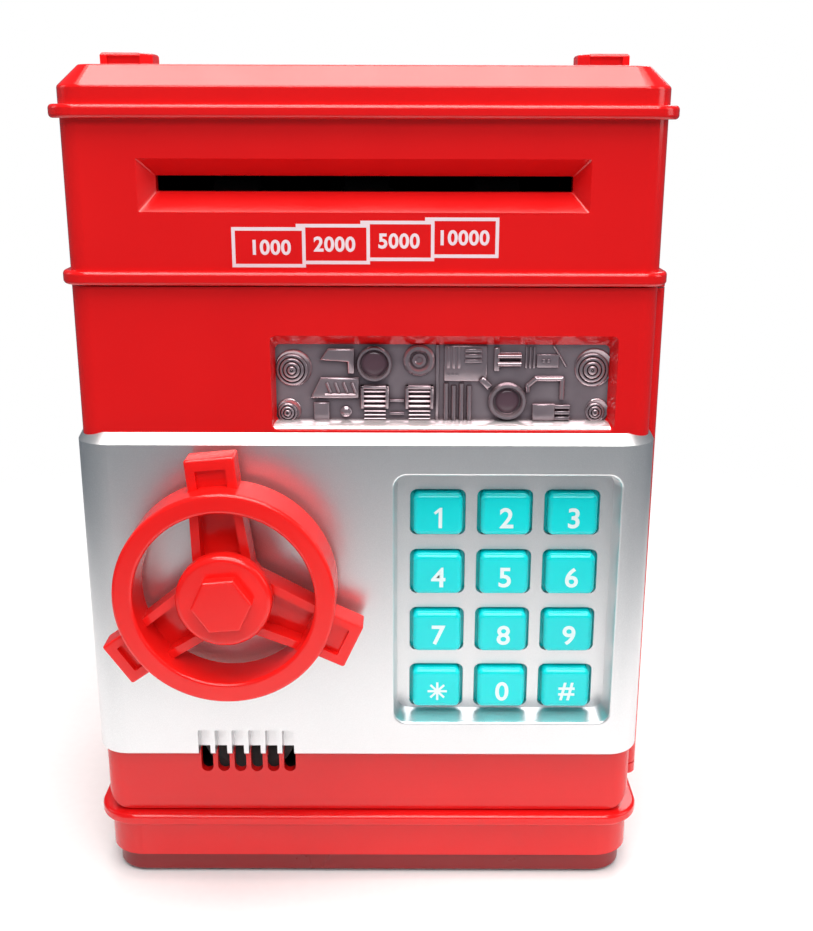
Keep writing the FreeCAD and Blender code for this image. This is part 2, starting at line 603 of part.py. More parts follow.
def door_panel():
    face = panel(door_x, (door_z[0], door_z[1] + 6.0), (front_y, front_y + door_rim), 6.0)
    block = door_outline(0, (front_y, front_y + door_rim), door_z, door_corner).common(face)
    inner_x = grown(door_x, -door_side)
    inner_z = grown(door_z, -door_side)
    hollow = slab(inner_x, (front_y + door_plate, front_y + 40), inner_z, 2.5)
    door = block.cut(hollow)
    door = door.fuse(rod(barrel_r, (hinge_x, hinge_y, barrel_z[0]), (0, 0, 1), barrel_z[1] - barrel_z[0]))
    web = box((hinge_x - 3.6, hinge_x), (hinge_y - 1.2, front_y + door_rim), barrel_z)
    door = door.fuse(web)
    frame_x = (window_outer[0] - 3, window_outer[1] + 1.5)
    frame_z = (window_outer[2] - 2.2, window_outer[3] + 2.6)
    frame = panel(frame_x, frame_z, (front_y + 1, front_y + window_deep), 2.0)
    door = door.fuse(frame)
    door = door.cut(funnel(window_outer, window_inner, front_y, front_y + window_deep, 1.2))
    opening_x, opening_z = grown(pad[0:2], pocket_wall + 0.2), grown(pad[2:4], pocket_wall + 0.2)
    door = door.cut(panel(opening_x, opening_z, (front_y - 1, front_y + 9), 4.4))
    door = door.cut(rod(5.4, (wheel_x, front_y - 5, wheel_z), (0, 1, 0), 12))
    for slot in vent_slots((front_y - 1, front_y + 5), vent_z, vent_width / 2 - 0.01):
        door = door.cut(slot)
    block_room_z = (fascia_z[0] + 0.1, vent_block_top + 0.1)
    door = door.cut(box(grown(vent_block_x, 0.1), (front_y - 1, front_y + 5), block_room_z))
    for x, z in door_posts:
        post = rod(3.0, (x, front_y + 1, z), (0, 1, 0), 9.0)
        door = door.fuse(post).cut(rod(1.1, (x, front_y + 3, z), (0, 1, 0), 30))
    for relief in barrel_relief():
        door = door.cut(relief)
    door = door.cut(rod(pin_r + running, (hinge_x, hinge_y, 0), (0, 0, 1), 250))
    add("door_panel", door.removeSplitter())


def on_pad_rim(bounds):
    """True for the edges where the keypad's recess meets the fascia's face."""
    in_face = bounds.YMin > fascia_y - 0.01 and bounds.YMax < fascia_y + 0.01
    in_width = bounds.XMin > pad[0] - 0.1 and bounds.XMax < pad[1] + 0.1
    in_height = bounds.ZMin > pad[2] - 0.1 and bounds.ZMax < pad[3] + 0.1
    return in_face and in_width and in_height


def fascia():
    """Silver front plate that wraps the door's edges, with the keypad's recess."""
    low, high = fascia_z
    x = (-fascia_half, fascia_half)
    r = fascia_corner
    back = fascia_y + 12.0
    block = slab(x, (fascia_y, back + 12), (low, high), r)
    block = block.makeFillet(0.7, [e for e in block.Edges if e.BoundBox.ZMax < low + 0.01])
    top = taper((x, (fascia_y, back + 12), high, r),
                ((-half_w - 0.3, half_w + 0.3), (front_y - 0.3, back + 12), high + fascia_bevel, r))
    body = block.fuse(top)
    body = body.cut(box((-90, 90), (back, back + 40), (0, 250)))
    body = body.cut(box((0, 90), (fascia_y + 8.2, back + 40), (0, 250)))
    body = body.cut(door_outline(0.01, (front_y, front_y + 20), (0, 200), door_corner))
    outer = grown(pad[0:2], pocket_wall) + grown(pad[2:4], pocket_wall)
    floor_rect = grown(pad[0:2], -pad_draft) + grown(pad[2:4], -pad_draft)
    outer_back = grown(pad[0:2], pocket_wall - pad_draft) + grown(pad[2:4], pocket_wall - pad_draft)
    pad_back = fascia_y + pad_floor_depth + 1.6
    body = body.fuse(funnel(outer, outer_back, fascia_y + 1.0, pad_back, 3.6))
    body = body.cut(funnel(pad, floor_rect, fascia_y, fascia_y + pad_floor_depth, 3.0))
    body = body.makeFillet(pad_lip, [e for e in body.Edges if on_pad_rim(e.BoundBox)])
    for kx, kz in key_places():
        hole_x = (kx - key_hole[0] / 2, kx + key_hole[0] / 2)
        hole_z = (kz - key_hole[1] / 2, kz + key_hole[1] / 2)
        body = body.cut(panel(hole_x, hole_z, (fascia_y + 4, pad_back + 1), 1.6))
    body = body.cut(rod(5.4, (wheel_x, fascia_y - 5, wheel_z), (0, 1, 0), 12))
    vent_back_y = (fascia_y + 2.5, fascia_y + vent_depth + 0.9)
    vent_back = box(vent_block_x, vent_back_y, (low + 0.2, vent_block_top))
    body = body.fuse(vent_back)
    for slot in vent_slots((fascia_y - 1, fascia_y + vent_depth), (low - 6, vent_z[1]), 0.3):
        body = body.cut(slot)
    add("fascia", body.removeSplitter())


def key_places():
    places = []
    for row in range(4):
        for column in range(3):
            places.append((key_centre[0] + (column - 1) * key_pitch[0],
                           key_centre[1] + (1.5 - row) * key_pitch[1]))
    return places


def keys():
    """Keycaps that slide in the recess's holes, each held by a wider flange behind."""
    face_y = fascia_y + pad_floor_depth - key_lift
    flange_y = fascia_y + pad_floor_depth + 1.6 + 0.3
    for name, (kx, kz) in zip(key_names, key_places()):
        x = (kx - key_size[0] / 2, kx + key_size[0] / 2)
        z = (kz - key_size[1] / 2, kz + key_size[1] / 2)
        cap = panel(x, z, (face_y, flange_y + 0.4), 1.5)
        front = [e for e in cap.Edges if e.BoundBox.YMax < face_y + 0.01]
        cap = cap.makeFillet(1.15, front)
        lip = panel(grown(x, key_lip), grown(z, key_lip), (flange_y, flange_y + 1.2), 1.5)
        add("key_" + name, cap.fuse(lip).removeSplitter())


def keypad_layers():
    flange_back = fascia_y + pad_floor_depth + 1.9 + 1.2
    sheet_y = flange_back + 2.8
    x, z = grown(pad[0:2], -0.6), grown(pad[2:4], -0.6)
    sheet = panel(x, z, (sheet_y, sheet_y + 1.0), 2.0)
    for kx, kz in key_places():
        dome = Part.makeCone(3.6, 2.6, 1.0, V(kx, sheet_y + 0.05, kz), V(0, -1, 0))
        sheet = sheet.fuse(dome)
    add("key_membrane", sheet.removeSplitter())
    board_y = sheet_y + 1.1
    board = panel(x, z, (board_y, board_y + 1.6), 1.0)
    part_y = board_y + 1.6
    parts = [box((24, 38), (part_y, part_y + 2.2), (84, 98)), box((12, 20), (part_y, part_y + 4.0), (60, 66)),
             box((44, 52), (part_y, part_y + 4.0), (60, 66)), rod(2.5, (46, part_y, 92), (0, 1, 0), 5.5)]
    add("keypad_board", board, *parts)


# ---- door: window panel, lamp board, speaker, inner cover, lock ----------------------------
relief_y = front_y + window_deep
post_back = front_y + 10.0
lock_disc_y = (fascia_y + 12.0, fascia_y + 15.0)
cam_y = (fascia_y + 27.4, fascia_y + 29.8)
cam_reach = 30.4
plunger_throw = 3.2
disc_r = 11.0


def ring_boss(x, z, radii, y_base, heights):
    """Concentric steps, each radius standing to its own height ahead of y_base."""
    boss = None
    for r, h in zip(radii, heights):
        step = rod(r, (x, y_base + 0.2, z), (0, -1, 0), h + 0.2)
        boss = step if boss is None else boss.fuse(step)
    return boss


def raised(x, z, height, r=0.25):
    return panel(x, z, (relief_y + 0.1 - height, relief_y + 0.3), r)


def window_panel():
    """Moulded panel of pretend machinery behind the door's window."""
    x0, x1, z0, z1 = window_inner
    sheet = panel((x0 - 2.0, x1 + 2.0), (z0 - 2.0, z1 + 2.0), (relief_y + 0.05, relief_y + 1.6), 1.0)
    big = [(x0 + 4.6, z1 - 4.6), (x1 - 4.6, z1 - 4.6)]
    small = [(x0 + 2.9, z0 + 2.9), (x1 - 2.9, z0 + 2.9)]
    for x, z in big:
        sheet = sheet.fuse(ring_boss(x, z, (3.9, 2.9, 1.5), relief_y, (0.7, 1.3, 1.9)))
    for x, z in small:
        sheet = sheet.fuse(ring_boss(x, z, (2.3, 1.5, 0.8), relief_y, (0.6, 1.1, 1.6)))
    for x, z, r in ((2.4, 131.2, 4.1), (12.2, 131.6, 3.6), (32.6, 122.6, 4.5)):
        sheet = sheet.fuse(ring_boss(x, z, (r,), relief_y, (1.6,)))
    for x in (3.0, 12.0):
        for i in (0, 1):
            sheet = sheet.fuse(raised((x + 3.6 * i - 2.9, x + 3.6 * i - 0.1), (119.0, 124.6), 1.5))
    for i in range(4):
        sheet = sheet.fuse(raised((20.0 + 1.9 * i, 21.2 + 1.9 * i), (119.0, 134.5 - 6.0 * (i % 2)), 1.0))
    for i in range(3):
        sheet = sheet.fuse(raised((26.8, 34.0), (130.2 + 1.7 * i, 131.3 + 1.7 * i), 1.1))
    sheet = sheet.fuse(raised((38.5, 45.5), (119.5, 123.5), 1.3))
    sheet = sheet.fuse(raised((-10.5, -3.5), (126.2, 128.6), 1.1))
    add("window_panel", sheet.removeSplitter())


def lamp_board():
    y = (fascia_y + 13.0, fascia_y + 14.6)
    board = panel((-22.0, 50.0), (116.0, 136.0), y, 1.0)
    lamps = []
    for x in (-8.0, 17.0, 42.0):
        lamp = rod(1.5, (x, y[0], 127.0), (0, -1, 0), 3.2)
        lamps.append(lamp.fuse(rod(1.9, (x, y[0], 127.0), (0, -1, 0), 0.7)))
    add("lamp_board", board)
    add("window_lamps", *lamps)


def speaker():
    x, z = vent_first + 2.5 * vent_pitch, 38.6
    y0 = front_y + door_plate + 0.6
    frame = rod(11.5, (x, y0, z), (0, 1, 0), 2.4).fuse(rod(5.6, (x, y0 + 2.0, z), (0, 1, 0), 5.5))
    dish = Part.makeCone(9.8, 3.0, 2.4, V(x, y0 - 0.01, z), V(0, 1, 0))
    cap = Part.makeSphere(3.2, V(x, y0 + 3.2, z)).common(rod(3.2, (x, y0 + 1.2, z), (0, 1, 0), 2.4))
    add("speaker", frame.cut(dish).fuse(cap).removeSplitter())


def inner_cover():
    back = cover_y[1]
    cover = panel(cover_x, cover_z, cover_y, 4.0)
    cover = cover.makeFillet(1.2, [e for e in cover.Edges if e.BoundBox.YMin > back - 0.01])
    cover = cover.cut(panel(grown(cover_x, -1.8), grown(cover_z, -1.8), (cover_y[0] - 1, back - 1.8), 2.4))
    cover = cover.cut(panel(grown(pad[0:2], pocket_wall + 0.3), grown(pad[2:4], pocket_wall + 0.3),
                            (cover_y[0] - 1, fascia_y + pad_floor_depth + 2.0), 3.0))
    for x, z in door_posts:
        cover = cover.fuse(rod(3.0, (x, post_back, z), (0, 1, 0), back - post_back - 0.4))
        cover = cover.cut(rod(1.4, (x, post_back - 1, z), (0, 1, 0), 40))
        cover = cover.cut(rod(2.8, (x, back - 1.6, z), (0, 1, 0), 4))
    cover = cover.fuse(rod(5.4, (wheel_x, back - 6.0, wheel_z), (0, 1, 0), 6.0))
    cover = cover.cut(rod(shaft_r + running, (wheel_x, back - 10, wheel_z), (0, 1, 0), 20))
    add("inner_cover", cover.removeSplitter())
    heads = [screw((x, back - 1.6, z), (0, -1, 0), 2.5, 1.2, 1.1, 12.5) for x, z in door_posts]
    add("door_screws", *heads)


def solenoid():
    axis_y = (lock_disc_y[0] + lock_disc_y[1]) / 2
    x = (-13.5, 2.6)
    body = box(x, (axis_y - 5.0, axis_y + 5.0), (wheel_z - 5.5, wheel_z + 5.5))
    coil_gap = box((x[0] + 1.4, x[1] - 1.4), (axis_y - 6, axis_y + 6), (wheel_z - 4.1, wheel_z + 4.1))
    coil = rod(4.0, (x[0] + 1.4, axis_y, wheel_z), (1, 0, 0), x[1] - x[0] - 2.8)
    body = body.cut(coil_gap).cut(rod(1.5 + running, (x[0] - 1, axis_y, wheel_z), (1, 0, 0), 14))
    coil = coil.cut(rod(1.5 + running, (x[0] - 1, axis_y, wheel_z), (1, 0, 0), 14))
    add("solenoid_frame", body)
    add("solenoid_coil", coil)
    tip_x = wheel_x + disc_r + 0.6
    pin = rod(1.5, (tip_x, axis_y, wheel_z), (1, 0, 0), x[0] + 9.0 - tip_x)
    collar = rod(2.6, (tip_x + 4.3, axis_y, wheel_z), (1, 0, 0), 0.8)
    add("solenoid_plunger", pin.fuse(collar))


def wheel_bush():
    bush = tube(shaft_r + running, 5.3, (wheel_x, fascia_y - 0.8, wheel_z), (0, 1, 0), 8.0)
    collar = tube(shaft_r + running, 7.2, (wheel_x, front_y + door_plate, wheel_z), (0, 1, 0), 1.6)
    add("wheel_bush", bush.fuse(collar))


# ---- wheel, hub, shaft, lock disc and cam --------------------------------------------------
def turned(shape, degrees):
    shape.rotate(V(wheel_x, 0, wheel_z), V(0, -1, 0), degrees)
    return shape


def spoke(degrees):
    """A channel-section spoke from the hub, with its tab outside the ring."""
    back = ring_y[1]
    outline = [(-6.9, 3.0), (-5.7, 21.5), (5.7, 21.5), (6.9, 3.0)]
    wire = Part.makePolygon([V(wheel_x + a, back, wheel_z + b) for a, b in outline + outline[:1]])
    channel = Part.Face(wire).extrude(V(0, -6.5, 0))
    inner = [(-4.9, 2.0), (-3.8, 20.9), (3.8, 20.9), (4.9, 2.0)]
    wire = Part.makePolygon([V(wheel_x + a, back - 1.8, wheel_z + b) for a, b in inner + inner[:1]])
    channel = channel.cut(Part.Face(wire).extrude(V(0, -10, 0)))
    tab_x, tab_z = (wheel_x - 5.6, wheel_x + 5.6), (wheel_z + 23.0, wheel_z + tab_reach)
    tab = panel(tab_x, tab_z, (back - 6.2, back), 0.6)
    front = [e for e in tab.Edges if e.BoundBox.YMax < back - 6.19]
    tab = tab.makeFillet(0.55, front)
    notch = panel((wheel_x - 3.4, wheel_x + 3.4), (wheel_z + 22.0, wheel_z + tab_reach - 2.6),
                  (back - 8.0, back - 4.6), 0.4)
    tab = tab.cut(notch)
    both = channel.fuse(tab)
    return turned(both, degrees)


def wheel():
    centre = (wheel_x, ring_y[0], wheel_z)
    ring = tube(ring_r[0], ring_r[1], centre, (0, 1, 0), ring_y[1] - ring_y[0])
    front = [e for e in ring.Edges if e.BoundBox.YMax < ring_y[0] + 0.01 and e.Length > 60]
    ring = ring.makeFillet(0.8, front)
    body = ring
    for i in range(3):
        body = body.fuse(spoke(120.0 * i + wheel_turn))
    bore = rod(ring_r[0], (wheel_x, ring_y[0] - 1, wheel_z), (0, 1, 0), 4.0)
    hub = rod(8.4, (wheel_x, ring_y[0] + 2.6, wheel_z), (0, 1, 0), ring_y[1] - ring_y[0] - 2.6)
    body = body.cut(bore).fuse(hub)
    body = body.cut(rod(shaft_r + 0.02, (wheel_x, fascia_y - 12, wheel_z), (0, 1, 0), 40))
    add("wheel", body.removeSplitter())


def hub_cap():
    disc = rod(10.8, (wheel_x, fascia_y - 14.6, wheel_z), (0, 1, 0), 3.2)
    disc = disc.makeFillet(1.3, [e for e in disc.Edges if e.BoundBox.YMax < fascia_y - 14.59])
    radius = 13.7 / 2
    corners = [V(wheel_x + radius * math.cos(math.radians(60 * i)), fascia_y - wheel_reach,
                 wheel_z + radius * math.sin(math.radians(60 * i))) for i in range(7)]
    nut = Part.Face(Part.makePolygon(corners)).extrude(V(0, 4.0, 0))
    front = [e for e in nut.Edges if e.BoundBox.YMax < fascia_y - wheel_reach + 0.01]
    nut = nut.makeFillet(0.5, front)
    add("hub_cap", turned(disc.fuse(nut).removeSplitter(), wheel_turn))


def wheel_shaft():
    start = fascia_y - 11.3
    shaft = rod(shaft_r, (wheel_x, start, wheel_z), (0, 1, 0), cam_y[1] - start + 1.0)
    add("wheel_shaft", shaft)
    disc = tube(shaft_r, disc_r, (wheel_x, lock_disc_y[0], wheel_z), (0, 1, 0), 3.0)
    for notch_turn in (0.0, -90.0):
        notch = box((wheel_x + disc_r - 3.6, wheel_x + disc_r + 1), (lock_disc_y[0] - 1, lock_disc_y[1] + 1),
                    (wheel_z - 2.1, wheel_z + 2.1))
        disc = disc.cut(turned(notch, notch_turn))
    add("lock_disc", disc)
    cam = panel((wheel_x - 4.5, wheel_x + 4.5), (wheel_z - 4.5, wheel_z + cam_reach), cam_y, 2.0)
    cam = cam.fuse(rod(7.0, (wheel_x, cam_y[0], wheel_z), (0, 1, 0), cam_y[1] - cam_y[0]))
    cam = cam.cut(rod(shaft_r + 0.02, (wheel_x, cam_y[0] - 1, wheel_z), (0, 1, 0), 10))
    add("lock_cam", cam.removeSplitter())
    washer = rod(5.0, (wheel_x, cam_y[1] + 1.0, wheel_z), (0, 1, 0), 0.8)
    head = (wheel_x, cam_y[1] + 1.8, wheel_z)
    add("cam_screw", screw(head, (0, -1, 0), 2.6, 1.3, 1.25, 0.8).fuse(washer))


base_tray()
bottom_cover()
battery_cover()
rubber_feet()
batteries()
base_fasteners()
rear_housing()
strike_plate()
hinge_pin()
upper_housing()
add_screw_posts()
top_lid()
coin_chute()
note_guides()
side_plates()
rollers()
note_sensor()
main_board()
door_panel()
fascia()
keys()
keypad_layers()
window_panel()
lamp_board()
speaker()
inner_cover()
solenoid()
wheel_bush()
wheel()
hub_cap()
wheel_shaft()

os.makedirs("parts", exist_ok=True)
for node, shape in shapes.items():
    shape.exportStep("parts/" + node + ".step")
print(len(shapes), "sub-parts")
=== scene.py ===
"""Looks of the toy ATM savings bank: materials, printed and moulded detail, floor, light and camera."""
import bpy
import bmesh
import json
import math
from mathutils import Matrix, Vector


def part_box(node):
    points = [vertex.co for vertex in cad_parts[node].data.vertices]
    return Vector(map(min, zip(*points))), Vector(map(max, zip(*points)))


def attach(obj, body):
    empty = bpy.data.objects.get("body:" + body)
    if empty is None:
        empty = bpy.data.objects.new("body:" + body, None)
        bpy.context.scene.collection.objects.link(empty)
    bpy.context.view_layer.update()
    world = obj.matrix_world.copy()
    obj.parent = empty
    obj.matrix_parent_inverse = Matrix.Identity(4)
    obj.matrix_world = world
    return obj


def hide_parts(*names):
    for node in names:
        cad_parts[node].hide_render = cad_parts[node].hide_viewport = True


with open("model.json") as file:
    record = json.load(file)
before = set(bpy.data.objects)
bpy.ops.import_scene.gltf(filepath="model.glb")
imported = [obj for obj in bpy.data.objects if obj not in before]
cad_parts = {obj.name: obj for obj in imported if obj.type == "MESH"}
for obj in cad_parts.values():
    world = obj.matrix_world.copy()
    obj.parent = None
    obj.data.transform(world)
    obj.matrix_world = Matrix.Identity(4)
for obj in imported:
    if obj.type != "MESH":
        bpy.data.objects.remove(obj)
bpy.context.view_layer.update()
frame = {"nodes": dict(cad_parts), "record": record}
nodes = frame["nodes"]
MM = 0.001

# ---- materials -----------------------------------------------------------------------------


def new_material(name):
    """An empty node material with its shader and output."""
    material = bpy.data.materials.new(name)
    material.use_nodes = True
    tree = material.node_tree
    tree.nodes.clear()
    out = tree.nodes.new("ShaderNodeOutputMaterial")
    shader = tree.nodes.new("ShaderNodeBsdfPrincipled")
    tree.links.new(shader.outputs[0], out.inputs[0])
    return material, tree, shader


def object_point(tree, scale=(1, 1, 1)):
    """Object coordinates in metres, stretched by scale."""
    where = tree.nodes.new("ShaderNodeTexCoord")
    mapping = tree.nodes.new("ShaderNodeMapping")
    mapping.inputs["Scale"].default_value = scale
    tree.links.new(where.outputs["Object"], mapping.inputs["Vector"])
    return mapping.outputs["Vector"]


def noise(tree, point, scale, detail=3.0, rough=0.5):
    """Fractal noise at a point socket, scale cycles to the metre."""
    node = tree.nodes.new("ShaderNodeTexNoise")
    node.inputs["Scale"].default_value = scale
    node.inputs["Detail"].default_value = detail
    node.inputs["Roughness"].default_value = rough
    tree.links.new(point, node.inputs["Vector"])
    return node.outputs["Fac"]


def ramp(tree, value, low, high, to_low, to_high):
    """Maps value from low..high to to_low..to_high, clamped."""
    node = tree.nodes.new("ShaderNodeMapRange")
    node.inputs["From Min"].default_value = low
    node.inputs["From Max"].default_value = high
    node.inputs["To Min"].default_value = to_low
    node.inputs["To Max"].default_value = to_high
    tree.links.new(value, node.inputs["Value"])
    return node.outputs["Result"]


def spread(tree, value):
    """Stretches a noise's usual range, 0.3 to 0.7, over 0 to 1."""
    return ramp(tree, value, 0.3, 0.7, 0.0, 1.0)


def mix_colour(tree, factor, a, b):
    """A blend of two colours, given as triples or sockets, by a factor socket."""
    node = tree.nodes.new("ShaderNodeMix")
    node.data_type = "RGBA"
    tree.links.new(factor, node.inputs["Factor"])
    for key, colour in (("A", a), ("B", b)):
        socket = [s for s in node.inputs if s.name == key and s.type == "RGBA"][0]
        if isinstance(colour, bpy.types.NodeSocket):
            tree.links.new(colour, socket)
        else:
            socket.default_value = (*colour, 1.0)
    return [s for s in node.outputs if s.type == "RGBA"][0]


def bump(tree, height, strength, distance):
    """A normal tilted by a height socket; distance in metres."""
    node = tree.nodes.new("ShaderNodeBump")
    node.inputs["Strength"].default_value = strength
    node.inputs["Distance"].default_value = distance
    tree.links.new(height, node.inputs["Height"])
    return node.outputs["Normal"]


def moulded(name, colour, deep, rough=0.2, glow=0.0, bleed=(1, 0.3, 0.2), grain=0.04):
    """Moulded plastic: slow colour drift, fine handling scuffs, faint sink waves and mould grain."""
    pore_share = 0.04                               # of the pores' height beside the waves'
    material, tree, shader = new_material(name)
    point = object_point(tree)
    drift = noise(tree, point, scale=22.0, detail=2.0)
    colour_out = mix_colour(tree, spread(tree, drift), deep, colour)
    tree.links.new(colour_out, shader.inputs["Base Color"])
    wipe = noise(tree, point, scale=45.0, detail=5.0, rough=0.65)
    tree.links.new(ramp(tree, wipe, 0.3, 0.75, rough * 0.8, rough * 1.35), shader.inputs["Roughness"])
    waves = noise(tree, point, scale=60.0, detail=1.5)
    pores = noise(tree, point, scale=2600.0, detail=1.0)
    relief = tree.nodes.new("ShaderNodeMath")
    relief.operation = "MULTIPLY_ADD"
    relief.inputs[1].default_value = pore_share
    tree.links.new(pores, relief.inputs[0])
    tree.links.new(waves, relief.inputs[2])
    tree.links.new(bump(tree, relief.outputs[0], strength=grain, distance=0.0006), shader.inputs["Normal"])
    shader.inputs["IOR"].default_value = 1.5
    if glow:
        shader.inputs["Subsurface Weight"].default_value = glow
        shader.inputs["Subsurface Radius"].default_value = bleed
        shader.inputs["Subsurface Scale"].default_value = 0.0025
    return material


def metal(name, colour, rough=0.3, stretch=(1, 1, 40), grain=0.05, metallic=1.0):
    """Metal or metallic paint with a fine directional grain."""
    material, tree, shader = new_material(name)
    point = object_point(tree, stretch)
    streak = noise(tree, point, scale=120.0, detail=4.0, rough=0.6)
    shade = tuple(c * 0.86 for c in colour)
    colour_out = mix_colour(tree, spread(tree, streak), shade, colour)
    tree.links.new(colour_out, shader.inputs["Base Color"])
    tree.links.new(ramp(tree, streak, 0.25, 0.75, rough * 0.8, rough * 1.25), shader.inputs["Roughness"])
    tree.links.new(bump(tree, streak, strength=grain, distance=0.0002), shader.inputs["Normal"])
    shader.inputs["Metallic"].default_value = metallic
    return material


def chromed_relief():
    """Thin mauve chrome over moulded relief, darkened in its corners by painted shade from an ambient
    occlusion node.
    """
    material, tree, shader = new_material("window_relief")
    point = object_point(tree)
    haze = noise(tree, point, scale=160.0, detail=3.0)
    # painted shade: the ambient occlusion below pulls the base colour towards near-black in the relief's
    # corners and crevices
    corner = tree.nodes.new("ShaderNodeAmbientOcclusion")
    corner.samples = 6
    corner.inputs["Distance"].default_value = 0.0016
    plate = mix_colour(tree, spread(tree, haze), (0.46, 0.36, 0.39), (0.54, 0.43, 0.46))
    shaded = mix_colour(tree, ramp(tree, corner.outputs["AO"], 0.25, 0.95, 0, 1), (0.10, 0.05, 0.06), plate)
    tree.links.new(shaded, shader.inputs["Base Color"])
    tree.links.new(ramp(tree, haze, 0.3, 0.7, 0.13, 0.2), shader.inputs["Roughness"])
    tree.links.new(bump(tree, haze, strength=0.03, distance=0.0002), shader.inputs["Normal"])
    shader.inputs["Metallic"].default_value = 0.72
    return material


def silver_paint():
    """Fine metallic silver paint on plastic: tight flake and faint cloudiness."""
    material, tree, shader = new_material("silver_paint")
    point = object_point(tree)
    flake = noise(tree, point, scale=6500.0, detail=1.0, rough=0.5)
    cloud = noise(tree, point, scale=30.0, detail=2.0)
    base = mix_colour(tree, spread(tree, cloud), (0.70, 0.71, 0.72), (0.74, 0.74, 0.75))
    sparkle = mix_colour(tree, ramp(tree, flake, 0.45, 0.8, 0.0, 1.0), base, (0.86, 0.86, 0.87))
    tree.links.new(sparkle, shader.inputs["Base Color"])
    tree.links.new(ramp(tree, flake, 0.3, 0.7, 0.30, 0.38), shader.inputs["Roughness"])
    tree.links.new(bump(tree, flake, strength=0.035, distance=0.00004), shader.inputs["Normal"])
    shader.inputs["Metallic"].default_value = 0.92
    return material


def circuit_board():
    """Green lacquered board with paler copper tracks showing in patches."""
    material, tree, shader = new_material("board_green")
    point = object_point(tree)
    tracks = tree.nodes.new("ShaderNodeTexBrick")
    tracks.inputs["Scale"].default_value = 260.0
    tracks.inputs["Mortar Size"].default_value = 0.08
    tracks.inputs["Color1"].default_value = (0, 0, 0, 1)
    tracks.inputs["Color2"].default_value = (0, 0, 0, 1)
    tracks.inputs["Mortar"].default_value = (1, 1, 1, 1)
    turned = tree.nodes.new("ShaderNodeMapping")
    turned.inputs["Rotation"].default_value = (math.radians(90), 0, 0)
    tree.links.new(point, turned.inputs["Vector"])
    tree.links.new(turned.outputs["Vector"], tracks.inputs["Vector"])
    patch = ramp(tree, noise(tree, point, scale=90.0, detail=1.0), 0.47, 0.53, 0.0, 1.0)
    shown = tree.nodes.new("ShaderNodeMath")
    shown.operation = "MULTIPLY"
    tree.links.new(tracks.outputs["Color"], shown.inputs[0])
    tree.links.new(patch, shown.inputs[1])
    colour = mix_colour(tree, shown.outputs[0], (0.012, 0.13, 0.035), (0.05, 0.30, 0.09))
    tree.links.new(colour, shader.inputs["Base Color"])
    tree.links.new(ramp(tree, patch, 0.0, 1.0, 0.22, 0.34), shader.inputs["Roughness"])
    tree.links.new(bump(tree, shown.outputs[0], strength=0.4, distance=0.00005), shader.inputs["Normal"])
    return material


def wound_wire():
    """Fine enamelled copper wire, wound in close turns along X."""
    material, tree, shader = new_material("copper_coil")
    turns = tree.nodes.new("ShaderNodeTexWave")
    turns.inputs["Scale"].default_value = 900.0
    turns.inputs["Distortion"].default_value = 0.4
    tree.links.new(object_point(tree), turns.inputs["Vector"])
    colour = mix_colour(tree, turns.outputs["Fac"], (0.42, 0.14, 0.06), (0.85, 0.38, 0.18))
    tree.links.new(colour, shader.inputs["Base Color"])
    tree.links.new(ramp(tree, turns.outputs["Fac"], 0, 1, 0.45, 0.25), shader.inputs["Roughness"])
    tree.links.new(bump(tree, turns.outputs["Fac"], strength=0.6, distance=0.0001), shader.inputs["Normal"])
    shader.inputs["Metallic"].default_value = 0.8
    return material


def battery_jacket():
    """Printed sleeve of a plain cell: dark with slightly lighter scuffed patches, no lettering."""
    material, tree, shader = new_material("battery_jacket")
    point = object_point(tree)
    scuff = noise(tree, point, scale=200.0, detail=4.0, rough=0.6)
    colour = mix_colour(tree, spread(tree, scuff), (0.045, 0.05, 0.07), (0.07, 0.075, 0.10))
    tree.links.new(colour, shader.inputs["Base Color"])
    tree.links.new(ramp(tree, scuff, 0.3, 0.7, 0.2, 0.32), shader.inputs["Roughness"])
    tree.links.new(bump(tree, scuff, strength=0.05, distance=0.0001), shader.inputs["Normal"])
    shader.inputs["Metallic"].default_value = 0.4
    return material


